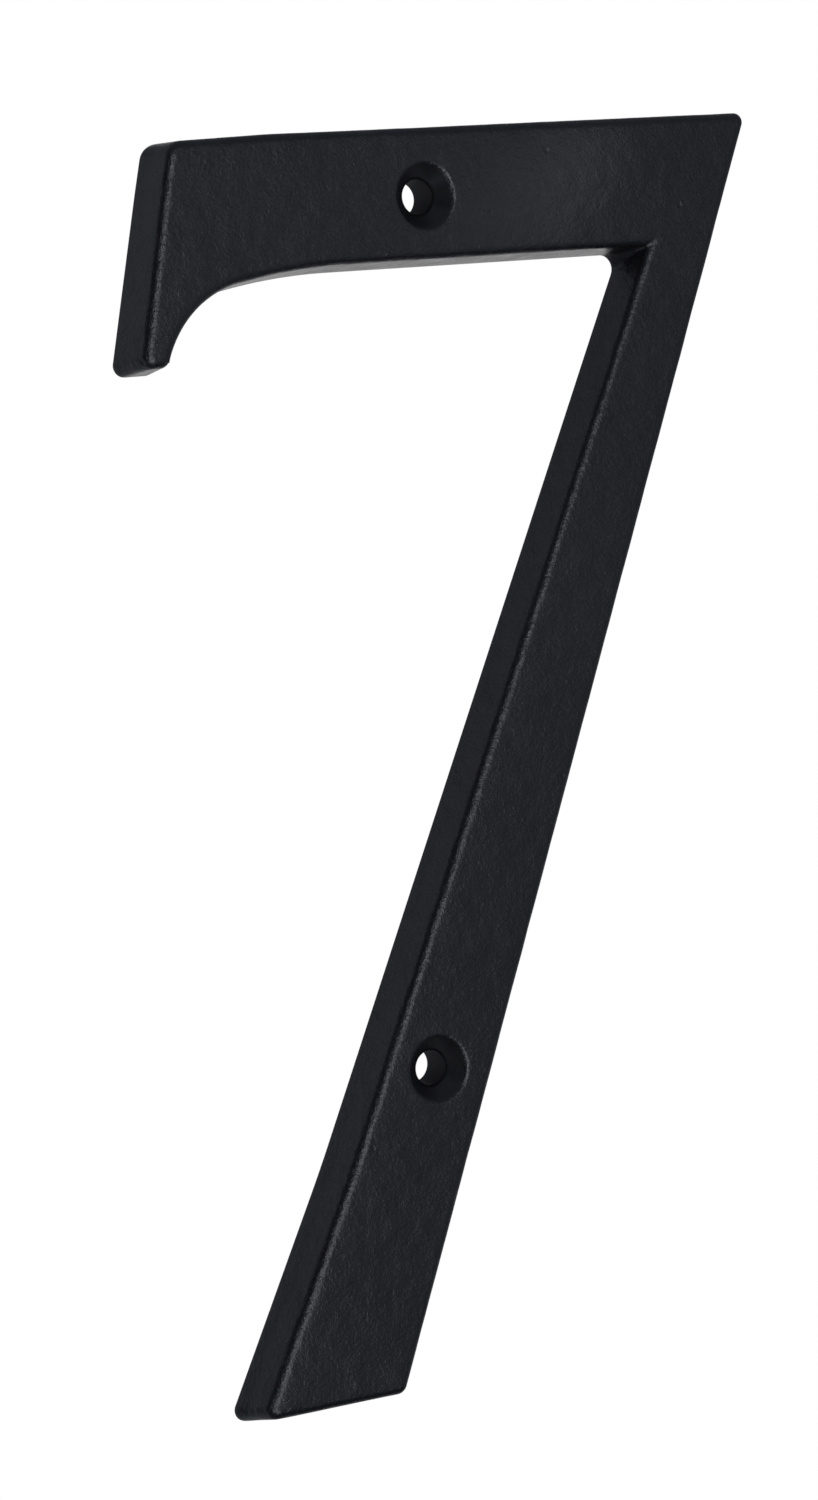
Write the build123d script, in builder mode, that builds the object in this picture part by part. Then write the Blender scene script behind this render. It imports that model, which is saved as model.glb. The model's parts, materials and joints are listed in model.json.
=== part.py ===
"""House number seven: one flat iron casting, screwed to a wall through two countersunk holes.

Frame: X to the reader's right, Z up, and the back of the casting on the wall plane, Y = 0,
with its front facing -Y. The origin lies on the wall, midway between the two screw holes.
"""
from math import acos, cos, degrees, radians, sin, tan
import os

from build123d import *

os.makedirs("parts", exist_ok=True)

# Driving dimensions in millimetres and degrees; the outline is measured at the back face

# Plate; its walls lean in towards the front, so that the casting leaves its mould
overall_height = 152.4
thickness = 6.4
wall_draft = 7.0
top_draft = 0.5

# Stem: widths are level, and the lean of its right edge is measured from the vertical
stem_lean = 22.9
foot_width = 22.0
flare_height = 28.7  # below this height the left edge kicks out to the foot
flare_width = 18.7
flare_radius = 200.0
neck_width = 11.1  # just under the bar

# Bar, and the serif that hangs from its left end
bar_length = 83.4
bar_depth = 16.6
serif_lean = 13.7
serif_drop = 27.3  # from the top edge to the serif's tip
serif_tip_width = 5.5
entry_radius = 77.0  # slow curve from the bar's underside towards the serif
entry_turn = 11.1
throat_radius = 12.5  # quick curve from there down to the tip

# Roundings
bar_corner_radius = 2.4  # at the bar's left end
corner_radius = 1.4  # at the serif's tip and the foot
front_edge_radius = 1.2
apex_share = 0.94  # the apex's radius as a share of the front edge's
back_edge_radius = 0.4
web_length = 2.9  # reach of the inner corner's web along each wall, at the back

# Screw holes for No. 8 countersunk wood screws, on the middle of the stem and of the bar
lower_screw_height = 39.2
upper_screw_inset = 34.6  # from the bar's left end
screw_hole_radius = 2.1
countersink_radius = 4.1
countersink_angle = 90.0
countersink_rim_radius = 0.7


def run(rise, lean):
    """Sideways travel of an edge that leans from the vertical, over the given rise."""
    return rise * tan(radians(lean))


# Corners of the back outline, seen from the front and measured from the foot's left corner
underside = overall_height - bar_depth
foot_left = Vector(0, 0)
foot_right = Vector(foot_width, 0)
apex = foot_right + (run(overall_height, stem_lean), overall_height)
flare = foot_right + (run(flare_height, stem_lean) - flare_width, flare_height)
inner_corner = foot_right + (run(underside, stem_lean) - neck_width, underside)
bar_left = apex - (bar_length, 0)
tip_left = bar_left - (run(serif_drop, serif_lean), serif_drop)
tip_right = tip_left + (serif_tip_width, 0)

# The serif's hollow turns down from the underside on two tangent arcs that end at the tip
entry_drop = entry_radius * (1 - cos(radians(entry_turn)))
throat_drop = serif_drop - bar_depth - entry_drop
hollow_turn = degrees(acos(cos(radians(entry_turn)) - throat_drop / throat_radius))
throat_run = throat_radius * (sin(radians(hollow_turn)) - sin(radians(entry_turn)))
entry_run = entry_radius * sin(radians(entry_turn))
hollow_start = Vector(tip_right.X + throat_run + entry_run, underside)

# Screw centres, and the wall plane placed so that the origin is midway between them
stem_slope = (inner_corner - flare).normalized()
stem_left_at_screw = flare.X + (lower_screw_height - flare_height) * stem_slope.X / stem_slope.Y
stem_right_at_screw = foot_width + run(lower_screw_height, stem_lean)
lower_screw = Vector((stem_left_at_screw + stem_right_at_screw) / 2, lower_screw_height)
upper_screw = bar_left + (upper_screw_inset, -bar_depth / 2)
screw_centre = (lower_screw + upper_screw) / 2

wall_plane = Plane.XZ.shift_origin((-screw_centre.X, 0, -screw_centre.Y))
front_plane = wall_plane.offset(thickness)

with BuildPart() as house_number:
    with BuildSketch(wall_plane):
        with BuildLine():
            bar_underside = Line(inner_corner, hollow_start)
            entry = JernArc(bar_underside @ 1, bar_underside % 1, entry_radius, entry_turn)
            JernArc(entry @ 1, entry % 1, throat_radius, hollow_turn - entry_turn)
            FilletPolyline(
                [tip_right, tip_left, bar_left, apex, foot_right, foot_left, flare, inner_corner],
                radius=[0, 0, 0, 0, 0, flare_radius],
            )
        make_face()
    extrude(amount=thickness)

    # Draft: the top wall is steeper than the rest
    draft(house_number.faces().sort_by(Axis.Z)[-1], wall_plane, top_draft)
    walls = house_number.faces().filter_by(Axis.Y, reverse=True)
    draft(walls.sort_by(Axis.Z)[:-1], wall_plane, wall_draft)

    # The outer edges that run from back to front are rounded, the apex's the least
    wall_edges = house_number.edges() - house_number.faces().filter_by(Axis.Y).edges()
    corner_radii = [
        (bar_left, bar_corner_radius),
        (tip_left, corner_radius),
        (tip_right, corner_radius),
        (foot_left, corner_radius),
        (foot_right, corner_radius),
        (apex, apex_share * front_edge_radius),
    ]
    for corner, radius in corner_radii:
        fillet(wall_edges.sort_by_distance(wall_plane.from_local_coords(corner))[0], radius)
    fillet(house_number.faces().sort_by(Axis.Y)[0].edges(), front_edge_radius)

    # Web in the inner corner: full at the back, running out where the front rounding begins
    wall_edges = house_number.edges() - house_number.faces().sort_by(Axis.Y)[-1].edges()
    inner_edge = wall_edges.sort_by_distance(wall_plane.from_local_coords(inner_corner))[0]
    web_end = inner_edge.vertices().sort_by(Axis.Y)[0]
    web_on_bar = inner_corner - (web_length, 0)
    web_on_stem = inner_corner - stem_slope * web_length
    with BuildSketch(wall_plane, mode=Mode.PRIVATE) as web:
        with BuildLine():
            TangentArc(web_on_bar, web_on_stem, tangent=(1, 0))
            Polyline(web_on_stem, inner_corner, web_on_bar)
        make_face()
    loft([web.sketch.face(), web_end])
    fillet(house_number.faces().sort_by(Axis.Y)[-1].edges(), back_edge_radius)

    with Locations(front_plane):
        with Locations(upper_screw, lower_screw):
            CounterSinkHole(
                screw_hole_radius, countersink_radius, counter_sink_angle=countersink_angle
            )
    front_face = house_number.faces().sort_by(Axis.Y)[0]
    fillet([rim.edge() for rim in front_face.inner_wires()], countersink_rim_radius)

house_number.part.label = "house_number"
export_step(house_number.part, "parts/house_number.step")
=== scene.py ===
"""House number seven, cast in iron and powder coated in satin black: looks, camera and studio.

Sizes of the casting are in millimetres, seen from the front: x to the right, z up, and depth
measured from the wall. Points of its outline are complex numbers, x + z j. The studio is in metres,
degrees and watts.
"""

from collections import namedtuple
import cmath
import json
import math

import bpy
import numpy as np
from mathutils import Euler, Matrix, Vector, geometry, kdtree, noise


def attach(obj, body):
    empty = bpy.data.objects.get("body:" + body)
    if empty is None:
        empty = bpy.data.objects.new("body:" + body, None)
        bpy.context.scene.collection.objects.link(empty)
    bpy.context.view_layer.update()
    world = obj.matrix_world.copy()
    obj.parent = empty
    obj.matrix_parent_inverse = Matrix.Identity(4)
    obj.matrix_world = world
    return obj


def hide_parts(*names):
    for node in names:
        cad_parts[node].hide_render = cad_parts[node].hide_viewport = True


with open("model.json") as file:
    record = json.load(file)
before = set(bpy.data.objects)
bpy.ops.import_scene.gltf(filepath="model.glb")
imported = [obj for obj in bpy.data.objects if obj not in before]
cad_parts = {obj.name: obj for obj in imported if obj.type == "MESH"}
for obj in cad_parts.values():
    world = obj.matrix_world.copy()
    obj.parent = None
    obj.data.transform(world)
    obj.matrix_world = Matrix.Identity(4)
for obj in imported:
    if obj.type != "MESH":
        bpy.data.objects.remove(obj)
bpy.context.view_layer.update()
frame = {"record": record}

MM = 0.001
scene = bpy.context.scene

# A side of the outline: its draft, and how much further in the front lies at its start and end
Side = namedtuple("Side", "draft start_dressed end_dressed", defaults=(0, 0))

# A rounded corner of the outline: its spoke goes from the centre to its start
Arc = namedtuple("Arc", "centre spoke turn radius start_depth end_depth")

# A noise of the coat, and a lamp with the point that it faces
Grain = namedtuple("Grain", "scale detail roughness")
Lamp = namedtuple("Lamp", "azimuth elevation distance size power target roll", defaults=((0, 0, 0), 0))

# Plate
HEIGHT = 152.4
THICKNESS = 6.4
WALL_DRAFT = math.radians(7.0)
TOP_DRAFT = math.radians(0.5)

# Stem and flare
STEM_LEAN = math.radians(22.9)
FOOT_WIDTH = 22.0
FLARE_HEIGHT = 28.7
FLARE_WIDTH = 18.7
FLARE_RADIUS = 200.0
NECK_WIDTH = 11.1

# Bar and serif
BAR_LENGTH = 83.4
BAR_DEPTH = 16.6
SERIF_LEAN = math.radians(13.7)
SERIF_DROP = 27.3
SERIF_TIP_WIDTH = 5.5
ENTRY_RADIUS = 77.0
ENTRY_TURN = math.radians(11.1)
THROAT_RADIUS = 12.5
TIP_STRAIGHT = 1.1  # where the throat runs into the rounded tip

# Roundings
BAR_CORNER_RADIUS = 2.4
CORNER_RADIUS = 1.4
APEX_RADIUS = 1.128
FRONT_RADIUS = 1.2
BACK_RADIUS = 0.4
WEB_RADIUS = 1.8  # inner corner, at the back
VALLEY_RADIUS = 0.3  # inner corner, where the coat softens it at the front
SHARPEST = 0.02

# How much further in the front edge lies on the left, as in a pattern cut by hand
TIP_DRESSED = 0.55
NECK_DRESSED = -0.12
FLARE_DRESSED = 0.38
FOOT_DRESSED = 0.62

# The sides, counter-clockwise from the foot's left corner
SIDES = [
    Side(WALL_DRAFT),  # foot
    Side(WALL_DRAFT),  # right edge
    Side(TOP_DRAFT),  # top edge
    Side(WALL_DRAFT, 0, TIP_DRESSED),  # bar's left end
    Side(WALL_DRAFT),  # serif's tip
    Side(WALL_DRAFT),  # hollow's straight above the tip
    Side(WALL_DRAFT),  # hollow, between its two arcs
    Side(WALL_DRAFT),  # bar's underside
    Side(WALL_DRAFT, NECK_DRESSED, FLARE_DRESSED),  # stem's left edge
    Side(WALL_DRAFT, FLARE_DRESSED, FOOT_DRESSED),  # flare's left edge
]
BAR_LEFT = 3  # number of the corner at the bar's upper left

# Screw holes
LOWER_SCREW_HEIGHT = 39.2
BORE_RADIUS = 2.1
SINK_RADIUS = 4.1
SINK_HALF_ANGLE = math.radians(45.0)
LIP_RADIUS = 0.7
IN_SINK = 0.5  # what the coat's material is told of a place: 0 is in the open
IN_BORE = 1.0

# Mesh
SPACING = 0.42
BACK_SPACING = 1.2
ROW_SPACING = math.sqrt(0.75)  # between the rows of an even triangular grid, as a share of the spacing
GRID_CLEARANCE = 0.65  # from the rim of a face, as a share of the spacing
INSIDE_OUTLINE = 1  # the fill keeps the triangles inside its outline
MERGE_DISTANCE = 1e-6
BACK_STEPS = 4
WALL_STEPS = 12
FRONT_STEPS = 9
CORNER_STEPS = 12
HOLE_SIDES = 96
LIP_STEPS = 6
CONE_STEPS = 6
BORE_STEPS = 9
SHARP_ANGLE = math.radians(60)

# Unevenness of the casting, which only ever takes metal away and leaves the back flat
CAST_DEPTH = 0.05
CAST_WAVE = 6.0
CAST_SEED = Vector((3.1, 7.7, 1.9))
CAST_OCTAVES = (1.0, 2.0, 3)  # how fast the noise's octaves fade, how much finer each is, how many
CAST_MEAN = 0.5  # share of the depth that goes on the average
CAST_SWING = 0.6  # how far the noise moves that share
CAST_FROM = 1.0  # depth at which it begins
CAST_FULL = 3.0
DIP_DEPTH = 0.28  # the top edge falls off towards the bar's left end
DIP_LENGTH = 16.0
DIP_REACH = 7.0

# The front is filed down a little along the left edges
CROWN_DEPTH = 0.22
CROWN_REACH = 7.0  # from the back outline
CROWN_FADE = 60.0  # from the upper end of the edge

# Powder coat: its grains have their scale per millimetre, and its heights are shares of the peel's
PEEL = Grain(scale=2.6, detail=3.0, roughness=0.65)
LUMPS = Grain(scale=0.35, detail=3.0, roughness=0.5)
TONE = Grain(scale=0.06, detail=2.0, roughness=0.5)
LUMP_HEIGHT = 2.3
PIT_SCALE = 0.22
PIT_CHOICE = 0.62  # cells with a random value over this have a pit
PIT_BOTTOM = 0.03  # from the cell's middle, in cells
PIT_RIM = 0.10
PIT_DEPTH = 0.9
BUMP_DISTANCE = 0.1
SINK_BUMP = 0.15  # what is left of the bump in the countersinks
DARK_COAT = (0.0036, 0.0038, 0.0050, 1.0)
PALE_COAT = (0.0058, 0.0061, 0.0078, 1.0)
PALE_PEEL = 0.4  # how much the peel adds to the tone
PALE_FROM = 0.5  # of the tone
PALE_FULL = 0.95
# Paler coat on the front edges' roundings and the holes' lips: partly rubbed wear, partly a painted
# highlight
RUBBED_AND_HIGHLIT_COAT = (0.011, 0.0115, 0.0135, 1.0)
RUBBED_AND_HIGHLIT_SHARE = 0.5
RUBBED_AND_HIGHLIT_FROM = 0.4  # of the lumps
RUBBED_AND_HIGHLIT_FULL = 0.65
RUBBED_POLISH = 0.04  # what rubbing takes from the roughness
LUMP_LOW = 0.3
LUMP_HIGH = 0.7
LOW_ROUGHNESS = 0.36  # at the foot of the lumps
HIGH_ROUGHNESS = 0.30  # on top of them
BORE_DULLNESS = 0.45  # what the bores add to the roughness
GLOSS_TINT = (0.90, 0.93, 1.0, 1.0)

# Camera: the photograph's view, from the left and a little above the middle of the number
CAMERA_PLACE = Vector((-276.24, -471.54, 27.40)) * MM
CAMERA_TURN = (85.636, 4.656, -30.640)  # about X, then Y, then Z
CAMERA_LENS = 107.9  # millimetres
SENSOR_WIDTH = 36.0  # millimetres
CLIP_START = 0.01

# Room, with a white paper behind the number and a pale floor
ROOM_LIGHT = (0.180, 0.184, 0.217)
PAPER_WHITE = (1.0, 1.0, 1.0)
PAPER_DISTANCE = 2.0  # from the camera
PAPER_SIZE = (0.75, 1.6)
FLOOR_HEIGHT = -0.95
FLOOR_SIZE = 60.0
FLOOR_COLOUR = (0.80, 0.80, 0.82)

# Lamps; azimuth 0 is in front of the number and positive to the right, and a target is in millimetres
LAMPS = {
    "key": Lamp(azimuth=-18, elevation=-10, distance=1.1, size=(0.40, 1.3), power=8.2),
    "fill": Lamp(azimuth=20, elevation=-5, distance=1.2, size=(0.2, 0.25), power=0.10),
    "sheen": Lamp(azimuth=26, elevation=10, distance=1.2, size=(0.2, 0.2), power=0.28),
    "rim": Lamp(azimuth=-126, elevation=23, distance=1.0, size=(0.5, 0.35), power=0.235),
    "low_rim": Lamp(azimuth=-147, elevation=-8, distance=1.0, size=(0.4, 0.4), power=0.30),
    "strip": Lamp(  # close to the bar, for the band of sheen across it
        azimuth=31, elevation=3, distance=0.018, size=(0.003, 0.017), power=0.00024,
        target=(23.3, -THICKNESS, 52.2), roll=-40,
    ),
}

# A lamp above the floor, which it lights from there
WASH_HEIGHT = 0.5
WASH_SIZE = (8.0, 8.0)
WASH_POWER = 32.0

# Dark flags that keep the room out of the left edges and the countersinks: (centre, width, height)
FLAG_BLACK = (0.004, 0.004, 0.004)
FLAGS = {
    "flag_left": ((-0.6, -0.18, 0.0), 0.70, 1.5),
    "flag_below": ((0.05, -0.15, -0.40), 0.5, 0.8),
}


def run(rise, lean):
    """Sideways travel of an edge that leans from the vertical, over the given rise."""
    return rise * math.tan(lean)


def unit(point):
    return point / abs(point)


def smooth_step(value):
    """0 below 0 and 1 above 1, with an even bend between."""
    value = min(max(value, 0.0), 1.0)
    return value * value * (3 - 2 * value)


def outline_corners(lower_screw):
    """Corners of the back outline, counter-clockwise from the foot's left: (point, kind, radius)."""
    underside = HEIGHT - BAR_DEPTH
    foot_left = complex(0, 0)
    foot_right = complex(FOOT_WIDTH, 0)
    apex = foot_right + complex(run(HEIGHT, STEM_LEAN), HEIGHT)
    bar_left = apex - BAR_LENGTH
    tip_left = bar_left - complex(run(SERIF_DROP, SERIF_LEAN), SERIF_DROP)
    tip_right = tip_left + SERIF_TIP_WIDTH
    inner = foot_right + complex(run(underside, STEM_LEAN) - NECK_WIDTH, underside)
    flare = foot_right + complex(run(FLARE_HEIGHT, STEM_LEAN) - FLARE_WIDTH, FLARE_HEIGHT)

    # The hollow leaves the tip on a short straight, then bends on two tangent arcs into the underside
    throat_drop = SERIF_DROP - BAR_DEPTH - ENTRY_RADIUS * (1 - math.cos(ENTRY_TURN))
    reach = math.hypot(THROAT_RADIUS, TIP_STRAIGHT)
    level = THROAT_RADIUS * math.cos(ENTRY_TURN) - throat_drop
    steepest = math.acos(level / reach) - math.atan2(TIP_STRAIGHT, THROAT_RADIUS)
    throat_tangent = THROAT_RADIUS * math.tan((steepest - ENTRY_TURN) / 2)
    entry_tangent = ENTRY_RADIUS * math.tan(ENTRY_TURN / 2)
    throat = tip_right + cmath.rect(TIP_STRAIGHT + throat_tangent, steepest)
    entry = throat + cmath.rect(throat_tangent + entry_tangent, ENTRY_TURN)

    # The lower screw is on the middle of the stem, so it says where the outline lies in the frame
    stem = inner - flare
    stem_left = flare.real + (LOWER_SCREW_HEIGHT - FLARE_HEIGHT) * stem.real / stem.imag
    stem_right = FOOT_WIDTH + run(LOWER_SCREW_HEIGHT, STEM_LEAN)
    shift = lower_screw - complex((stem_left + stem_right) / 2, LOWER_SCREW_HEIGHT)
    return [
        (foot_left + shift, "outer", CORNER_RADIUS),
        (foot_right + shift, "outer", CORNER_RADIUS),
        (apex + shift, "outer", APEX_RADIUS),
        (bar_left + shift, "outer", BAR_CORNER_RADIUS),
        (tip_left + shift, "outer", CORNER_RADIUS),
        (tip_right + shift, "outer", CORNER_RADIUS),
        (throat + shift, "hollow", THROAT_RADIUS),
        (entry + shift, "hollow", ENTRY_RADIUS),
        (inner + shift, "web", WEB_RADIUS),
        (flare + shift, "hollow", FLARE_RADIUS),
    ]


def wall_profile(draft):
    """Levels of a wall from the back face to the front: (inset from the back outline, depth, share of
    rubbed wear and painted highlight).
    """
    slope = math.tan(draft)
    levels = []
    back_inset = BACK_RADIUS * (slope + 1 / math.cos(draft))
    for turn in np.linspace(math.pi / 2, -draft, BACK_STEPS + 1):
        inset = back_inset - BACK_RADIUS * math.cos(turn)
        levels.append((inset, BACK_RADIUS * (1 - math.sin(turn)), 0.0))
    front_centre = THICKNESS - FRONT_RADIUS
    front_inset = front_centre * slope + FRONT_RADIUS / math.cos(draft)
    wall_end = front_centre + FRONT_RADIUS * math.sin(draft)
    for depth in np.linspace(levels[-1][1], wall_end, WALL_STEPS + 1)[1:-1]:
        levels.append((depth * slope, depth, 0.0))
    # Round the front edge the coat is painted paler, as rubbed wear and a painted highlight, most halfway
    # round
    for turn in np.linspace(draft, math.pi / 2, FRONT_STEPS + 1):
        inset = front_inset - FRONT_RADIUS * math.cos(turn)
        levels.append((inset, front_centre + FRONT_RADIUS * math.sin(turn), math.sin(2 * turn)))
    return levels


def crossing(point_a, heading_a, point_b, heading_b):
    """Where two lines meet."""
    across = heading_b.conjugate()
    return point_a + heading_a * ((point_b - point_a) * across).imag / (heading_a * across).imag


def corner_radius(kind, radius, inset, depth, draft):
    """Radius of a corner at one level of the wall."""
    if kind == "outer":
        return max(radius - (inset - depth * math.tan(draft)), SHARPEST)
    if kind == "hollow":
        return radius + inset
    return max(radius * (1 - depth / (THICKNESS - FRONT_RADIUS)), VALLEY_RADIUS)


def outline_arcs(corners, profiles, level):
    """The outline's rounded corners at one level of the wall."""
    lines = []
    for (point, _, _), (following, _, _), side in zip(corners, corners[1:] + corners[:1], SIDES):
        inset, depth, _ = profiles[side.draft][level]
        inward = 1j * unit(following - point)
        share = depth / THICKNESS
        start = point + inward * (inset + side.start_dressed * share)
        end = following + inward * (inset + side.end_dressed * share)
        lines.append((start, unit(end - start), inset, depth, side.draft))
    arcs = []
    for (_, kind, radius), before, after in zip(corners, lines[-1:] + lines[:-1], lines):
        turn = cmath.phase(after[1] / before[1])
        radius = corner_radius(kind, radius, *before[2:])
        start = crossing(*before[:2], *after[:2]) - before[1] * radius * math.tan(abs(turn) / 2)
        centre = start + 1j * before[1] * math.copysign(radius, turn)
        arcs.append(Arc(centre, start - centre, turn, radius, before[3], after[3]))
    return arcs


def arc_point(arc, share):
    return arc.centre + arc.spoke * cmath.exp(1j * arc.turn * share)


def ring_steps(arcs):
    """Into how many steps each corner, and the straight after it, is cut."""
    steps = []
    for arc, following in zip(arcs, arcs[1:] + arcs[:1]):
        straight = abs(arc_point(following, 0) - arc_point(arc, 1))
        corner_steps = max(CORNER_STEPS, round(arc.radius * abs(arc.turn) / SPACING))
        steps.append((corner_steps, round(straight / SPACING)))
    return steps


def outline_ring(arcs, steps):
    """Points (x, depth, z) round the outline."""
    ring = []
    for arc, following, (corner_steps, straight_steps) in zip(arcs, arcs[1:] + arcs[:1], steps):
        for share in np.linspace(0, 1, corner_steps, endpoint=False):
            point = arc_point(arc, share)
            depth = arc.start_depth + (arc.end_depth - arc.start_depth) * share
            ring.append((point.real, depth, point.imag))
        start = arc_point(arc, 1)
        end = arc_point(following, 0)
        for share in np.linspace(0, 1, straight_steps, endpoint=False):
            point = start + (end - start) * share
            ring.append((point.real, arc.end_depth, point.imag))
    return ring


def hole_profile():
    """Levels of a screw hole from the front face to the back: (radius, depth, share of rubbed wear and
    painted highlight, recess).
    """
    lip_turn = math.pi / 2 - SINK_HALF_ANGLE
    lip_centre = SINK_RADIUS + LIP_RADIUS * math.tan(lip_turn / 2)
    levels = []
    # Round the lip the coat is painted paler, as rubbed wear and a painted highlight, most halfway round
    for turn in np.linspace(0, lip_turn, LIP_STEPS + 1):
        depth = THICKNESS - LIP_RADIUS * (1 - math.cos(turn))
        levels.append((lip_centre - LIP_RADIUS * math.sin(turn), depth, math.sin(2 * turn), 0.0))
    lip_radius, lip_depth, *_ = levels[-1]
    seat_depth = THICKNESS - (SINK_RADIUS - BORE_RADIUS) / math.tan(SINK_HALF_ANGLE)
    for share in np.linspace(0, 1, CONE_STEPS + 1)[1:]:
        radius = lip_radius + (BORE_RADIUS - lip_radius) * share
        levels.append((radius, lip_depth + (seat_depth - lip_depth) * share, 0.0, IN_SINK))
    for depth in np.linspace(seat_depth, 0, BORE_STEPS + 1)[1:]:
        levels.append((BORE_RADIUS, depth, 0.0, IN_BORE))
    return levels


def inside(polygon, points):
    """Which points lie in a closed polygon; both are arrays of (x, z)."""
    x, z = points[:, 0], points[:, 1]
    found = np.zeros(len(points), dtype=bool)
    for (ax, az), (bx, bz) in zip(polygon, np.roll(polygon, -1, axis=0)):
        if az != bz:
            found ^= ((az > z) != (bz > z)) & (x < (bx - ax) * (z - az) / (bz - az) + ax)
    return found


def even_grid(polygon, spacing):
    """Points (x, z) of an even triangular grid in a polygon."""
    low, high = polygon.min(axis=0), polygon.max(axis=0)
    rows = []
    for k, z in enumerate(np.arange(low[1], high[1], spacing * ROW_SPACING)):
        x = np.arange(low[0] + spacing / 2 * (k % 2), high[0], spacing)
        rows.append(np.column_stack((x, np.full(len(x), z))))
    grid = np.concatenate(rows)
    return grid[inside(polygon, grid)]


def fill_face(vertices, outer, holes, spacing):
    """Triangles, counter-clockwise from the front, between an outline and its holes.

    The outline and each hole are lists of vertex numbers. New points go to the end of vertices.
    """
    depth = vertices[outer[0]][1]
    loops = [outer, *holes]
    used = [i for loop in loops for i in loop]
    flat = np.array([(vertices[i][0], vertices[i][2]) for i in used])
    polygons = np.split(flat, np.cumsum([len(loop) for loop in loops])[:-1])
    rim = kdtree.KDTree(len(flat))
    for i, (x, z) in enumerate(flat):
        rim.insert((x, z, 0), i)
    rim.balance()

    grid = even_grid(polygons[0], spacing)
    for hole in polygons[1:]:
        grid = grid[~inside(hole, grid)]
    for x, z in grid:
        if rim.find((x, z, 0))[2] > spacing * GRID_CLEARANCE:
            used.append(len(vertices))
            vertices.append((x, depth, z))

    edges = []
    first = 0
    for loop in loops:
        edges += [(first + i, first + (i + 1) % len(loop)) for i in range(len(loop))]
        first += len(loop)
    places = [Vector((vertices[i][0], vertices[i][2])) for i in used]
    points, _, triangles, origins, _, _ = geometry.delaunay_2d_cdt(
        places, edges, [], INSIDE_OUTLINE, MERGE_DISTANCE
    )
    middles = np.array([np.mean([points[i] for i in corners], axis=0) for corners in triangles])
    in_hole = np.logical_or.reduce([inside(hole, middles) for hole in polygons[1:]])
    return [
        tuple(used[origins[i][0]] for i in corners)
        for corners, is_open in zip(triangles, in_hole) if not is_open
    ]


def ring_faces(rings):
    """Quads between neighbouring rings of vertex numbers."""
    faces = []
    for near, far in zip(rings, rings[1:]):
        for i in range(len(near)):
            j = (i + 1) % len(near)
            faces.append((near[i], near[j], far[j], far[i]))
    return faces


def add_ring(vertices, finish, points, wear_and_highlight, recess):
    """Adds a ring of points with its finish and returns their vertex numbers."""
    first = len(vertices)
    vertices.extend(points)
    finish.extend([(wear_and_highlight, recess)] * len(points))
    return list(range(first, len(vertices)))


def filed_off(point, corners):
    """How much was filed off the front at a point of it."""
    crown = 0.0
    for i, side in enumerate(SIDES):
        if side.end_dressed:
            start = corners[i][0]
            end = corners[(i + 1) % len(corners)][0]
            place = (point - start) * unit(end - start).conjugate()
            if 0 < place.real < abs(end - start) and 0 <= place.imag < CROWN_REACH:
                fade = 1.0 if side.start_dressed > 0 else smooth_step(place.real / CROWN_FADE)
                crown = max(crown, fade * (1 - place.imag / CROWN_REACH) ** 2)
    return CROWN_DEPTH * crown


def uneven(mesh, vertices, corners):
    """Gives a mesh the slight unevenness of a sand casting and of its filed front."""
    bar_left = corners[BAR_LEFT][0]
    normals = [vertex.normal.copy() for vertex in mesh.vertices]
    for vertex, normal, (x, depth, z) in zip(mesh.vertices, normals, vertices):
        share = smooth_step((depth - CAST_FROM) / (CAST_FULL - CAST_FROM))
        swell = noise.fractal(Vector((x, depth, z)) / CAST_WAVE + CAST_SEED, *CAST_OCTAVES)
        taken = min(max(CAST_MEAN - CAST_SWING * swell, 0.0), 1.0)
        vertex.co -= normal * CAST_DEPTH * MM * share * taken
        vertex.co.y += filed_off(complex(x, z), corners) * MM * share
        along = smooth_step((bar_left.real + DIP_LENGTH - x) / DIP_LENGTH)
        upward = smooth_step((z - bar_left.imag + DIP_REACH) / DIP_REACH)
        vertex.co.z -= DIP_DEPTH * MM * along * upward


def cast_mesh(name, screws):
    """The whole casting as one closed mesh, from the places of its lower and upper screw."""
    corners = outline_corners(screws[0])
    profiles = {draft: wall_profile(draft) for draft in (WALL_DRAFT, TOP_DRAFT)}
    steps = ring_steps(outline_arcs(corners, profiles, 0))
    vertices, finish, wall_rings = [], [], []
    for level, (_, _, wear_and_highlight) in enumerate(profiles[WALL_DRAFT]):
        points = outline_ring(outline_arcs(corners, profiles, level), steps)
        wall_rings.append(add_ring(vertices, finish, points, wear_and_highlight, 0.0))
    faces = ring_faces(wall_rings)

    spokes = [cmath.rect(1, 2 * math.pi * k / HOLE_SIDES) for k in range(HOLE_SIDES)]
    hole_fronts, hole_backs = [], []
    for screw in screws:
        hole_rings = []
        for radius, depth, wear_and_highlight, recess in hole_profile():
            circle = [screw + spoke * radius for spoke in spokes]
            points = [(point.real, depth, point.imag) for point in circle]
            hole_rings.append(add_ring(vertices, finish, points, wear_and_highlight, recess))
        faces += ring_faces(hole_rings)
        hole_fronts.append(hole_rings[0])
        hole_backs.append(hole_rings[-1])

    faces += fill_face(vertices, wall_rings[-1], hole_fronts, SPACING)
    faces += [face[::-1] for face in fill_face(vertices, wall_rings[0], hole_backs, BACK_SPACING)]
    finish += [(0.0, 0.0)] * (len(vertices) - len(finish))

    mesh = bpy.data.meshes.new(name)
    mesh.from_pydata([(x * MM, -depth * MM, z * MM) for x, depth, z in vertices], [], faces)
    mesh.polygons.foreach_set("use_smooth", [True] * len(mesh.polygons))
    mesh.update()
    uneven(mesh, vertices, corners)
    # Where the coat is painted paler as rubbed wear and a painted highlight, and how far into a hole a
    # place lies
    for attribute, values in zip(("wear_and_highlight", "recess"), zip(*finish)):
        mesh.attributes.new(attribute, "FLOAT", "POINT").data.foreach_set("value", values)
    mesh.set_sharp_from_angle(angle=SHARP_ANGLE)
    mesh.update()
    return mesh


def new_material(name):
    material = bpy.data.materials.new(name)
    material.use_nodes = True
    material.node_tree.nodes.clear()
    return material


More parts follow.
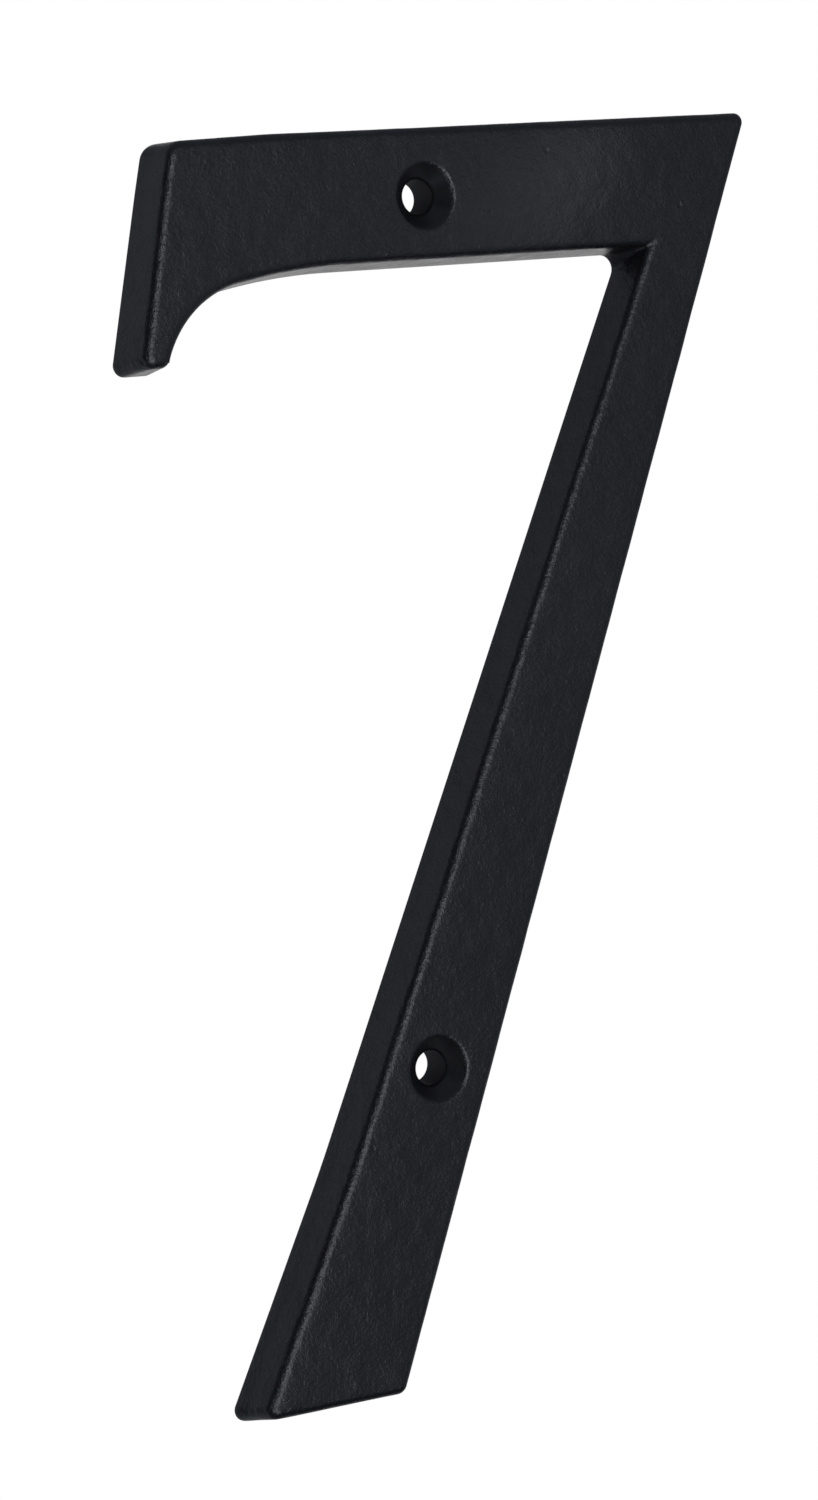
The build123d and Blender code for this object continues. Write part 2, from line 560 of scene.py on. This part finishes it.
def add_node(material, kind, inputs, **settings):
    """A new node of a material; each of its inputs takes a value or another node's output."""
    tree = material.node_tree
    node = tree.nodes.new(kind)
    for setting, value in settings.items():
        setattr(node, setting, value)
    for socket, value in inputs.items():
        if isinstance(value, bpy.types.NodeSocket):
            tree.links.new(value, node.inputs[socket])
        else:
            node.inputs[socket].default_value = value
    return node


def plain_material(name, kind, colour):
    """One shader of one colour, for the studio."""
    material = new_material(name)
    shader = add_node(material, kind, {"Color": (*colour, 1.0)})
    add_node(material, "ShaderNodeOutputMaterial", {"Surface": shader.outputs[0]})
    return material


def powder_coat(name):
    """Satin black powder coat: orange-peel grain, the casting's lumps and pits under it, edges painted
    paler as rubbed wear and a painted highlight.
    """
    material = new_material(name)

    def maths(operation, first, second):
        return add_node(material, "ShaderNodeMath", {0: first, 1: second}, operation=operation).outputs[0]

    def remap(value, low, high, start, end):
        sockets = {"Value": value, "From Min": low, "From Max": high, "To Min": start, "To Max": end}
        return add_node(material, "ShaderNodeMapRange", sockets).outputs["Result"]

    def mix(share, first, second):
        """A mix of two colours; the node's colour sockets are known by number only."""
        sockets = {0: share, 6: first, 7: second}
        return add_node(material, "ShaderNodeMix", sockets, data_type="RGBA").outputs[2]

    def noise_grain(grain):
        sockets = {
            "Vector": millimetres,
            "Scale": grain.scale,
            "Detail": grain.detail,
            "Roughness": grain.roughness,
        }
        return add_node(material, "ShaderNodeTexNoise", sockets).outputs["Fac"]

    def finish(attribute):
        return add_node(material, "ShaderNodeAttribute", {}, attribute_name=attribute).outputs["Fac"]

    place = add_node(material, "ShaderNodeTexCoord", {}).outputs["Object"]
    to_mm = {"Vector": place, "Scale": (1 / MM, 1 / MM, 1 / MM)}
    millimetres = add_node(material, "ShaderNodeMapping", to_mm).outputs["Vector"]
    wear_and_highlight = finish("wear_and_highlight")
    recess = finish("recess")

    peel = noise_grain(PEEL)
    lumps = noise_grain(LUMPS)
    tone = noise_grain(TONE)

    # Pits: in some of the cells of a coarse cell pattern
    cells = add_node(material, "ShaderNodeTexVoronoi", {"Vector": millimetres, "Scale": PIT_SCALE})
    chosen = maths("GREATER_THAN", cells.outputs["Color"], PIT_CHOICE)
    pit = maths("MULTIPLY", chosen, remap(cells.outputs["Distance"], PIT_BOTTOM, PIT_RIM, 1.0, 0.0))

    height = maths("ADD", peel, maths("MULTIPLY", lumps, LUMP_HEIGHT))
    height = maths("SUBTRACT", height, maths("MULTIPLY", pit, PIT_DEPTH))
    bump = add_node(material, "ShaderNodeBump", {
        "Strength": remap(recess, 0.0, IN_SINK, 1.0, SINK_BUMP),
        "Distance": BUMP_DISTANCE * MM,
        "Height": height,
    })

    # Colour: near black, a little bluish, uneven from place to place and paler on the edges, partly as
    # rubbed wear and partly as a painted highlight
    rubbed_and_highlit = maths("MULTIPLY", wear_and_highlight, remap(lumps, RUBBED_AND_HIGHLIT_FROM, RUBBED_AND_HIGHLIT_FULL, 0.0, 1.0))
    pale = maths("ADD", tone, maths("MULTIPLY", peel, PALE_PEEL))
    coat = mix(remap(pale, PALE_FROM, PALE_FULL, 0.0, 1.0), DARK_COAT, PALE_COAT)
    colour = mix(maths("MULTIPLY", rubbed_and_highlit, RUBBED_AND_HIGHLIT_SHARE), coat, RUBBED_AND_HIGHLIT_COAT)

    roughness = remap(lumps, LUMP_LOW, LUMP_HIGH, LOW_ROUGHNESS, HIGH_ROUGHNESS)
    roughness = maths("SUBTRACT", roughness, maths("MULTIPLY", rubbed_and_highlit, RUBBED_POLISH))
    roughness = maths("ADD", roughness, remap(recess, IN_SINK, IN_BORE, 0.0, BORE_DULLNESS))

    shader = add_node(material, "ShaderNodeBsdfPrincipled", {
        "Base Color": colour,
        "Roughness": roughness,
        "Normal": bump.outputs["Normal"],
        "Specular Tint": GLOSS_TINT,
    })
    add_node(material, "ShaderNodeOutputMaterial", {"Surface": shader.outputs["BSDF"]})
    return material


def panel(name, centre, facing, width, height, material):
    """A flat rectangle of the studio, with its middle at centre and its front turned towards facing."""
    mesh = bpy.data.meshes.new(name)
    w, h = width / 2, height / 2
    mesh.from_pydata([(-w, -h, 0), (w, -h, 0), (w, h, 0), (-w, h, 0)], [], [(0, 1, 2, 3)])
    mesh.materials.append(material)
    obj = bpy.data.objects.new(name, mesh)
    obj.location = centre
    obj.rotation_euler = (Vector(facing) - Vector(centre)).to_track_quat("Z", "Y").to_euler()
    scene.collection.objects.link(obj)
    return obj


def direction(azimuth, elevation):
    """Direction from the number; azimuth 0 is to the front of it, positive to the right."""
    a, e = math.radians(azimuth), math.radians(elevation)
    return Vector((math.sin(a) * math.cos(e), -math.cos(a) * math.cos(e), math.sin(e)))


def soft_lamp(name, place, aim, size, power, roll=0.0):
    """An area lamp that shines along aim and is out of the camera's sight."""
    lamp_data = bpy.data.lights.new(name, "AREA")
    lamp_data.shape = "RECTANGLE"
    lamp_data.size, lamp_data.size_y = size
    lamp_data.energy = power
    lamp = bpy.data.objects.new(name, lamp_data)
    lamp.location = place
    lamp.rotation_euler = aim.to_track_quat("-Z", "Y").to_euler()
    lamp.rotation_euler.rotate_axis("Z", math.radians(roll))
    lamp.visible_camera = False
    scene.collection.objects.link(lamp)


# Casting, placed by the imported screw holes
mounts = {mount["name"]: mount for mount in frame["record"]["mounts"]}
screw_places = []
for hole_name in ("lower_screw_hole", "upper_screw_hole"):
    x, _, z = mounts[hole_name]["pos_m"]
    screw_places.append(complex(x, z) / MM)
number = bpy.data.objects.new("cast_number", cast_mesh("cast_number", screw_places))
number.data.materials.append(powder_coat("black_powder_coat"))
scene.collection.objects.link(number)
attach(number, "root")
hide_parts("house_number")

# Camera
camera_data = bpy.data.cameras.new("camera")
camera_data.lens = CAMERA_LENS
camera_data.sensor_width = SENSOR_WIDTH
camera_data.clip_start = CLIP_START
camera = bpy.data.objects.new("camera", camera_data)
camera.location = CAMERA_PLACE
camera.rotation_euler = Euler([math.radians(angle) for angle in CAMERA_TURN], "XYZ")
scene.collection.objects.link(camera)
scene.camera = camera
sight = camera.rotation_euler.to_quaternion() @ Vector((0, 0, -1))

# Room, paper and floor
world = bpy.data.worlds.new("room")
world.use_nodes = True
world.node_tree.nodes["Background"].inputs["Color"].default_value = (*ROOM_LIGHT, 1.0)
scene.world = world
paper = plain_material("white_paper", "ShaderNodeEmission", PAPER_WHITE)
panel("paper", CAMERA_PLACE + sight * PAPER_DISTANCE, CAMERA_PLACE, *PAPER_SIZE, paper)
floor = plain_material("pale_floor", "ShaderNodeBsdfDiffuse", FLOOR_COLOUR)
panel("floor", (0, 0, FLOOR_HEIGHT), (0, 0, 1), FLOOR_SIZE, FLOOR_SIZE, floor)

# Lamps and flags
for lamp_name, lamp in LAMPS.items():
    towards = direction(lamp.azimuth, lamp.elevation)
    lamp_place = Vector(lamp.target) * MM + towards * lamp.distance
    soft_lamp(lamp_name, lamp_place, -towards, lamp.size, lamp.power, lamp.roll)
wash_place = Vector((0, 0, FLOOR_HEIGHT + WASH_HEIGHT))
soft_lamp("wash", wash_place, Vector((0, 0, -1)), WASH_SIZE, WASH_POWER)
flag_cloth = plain_material("flag_cloth", "ShaderNodeBsdfDiffuse", FLAG_BLACK)
for flag_name, (centre, width, height) in FLAGS.items():
    flag = panel(flag_name, centre, (0, centre[1], 0), width, height, flag_cloth)
    flag.visible_camera = False

scene.view_settings.view_transform = "Standard"
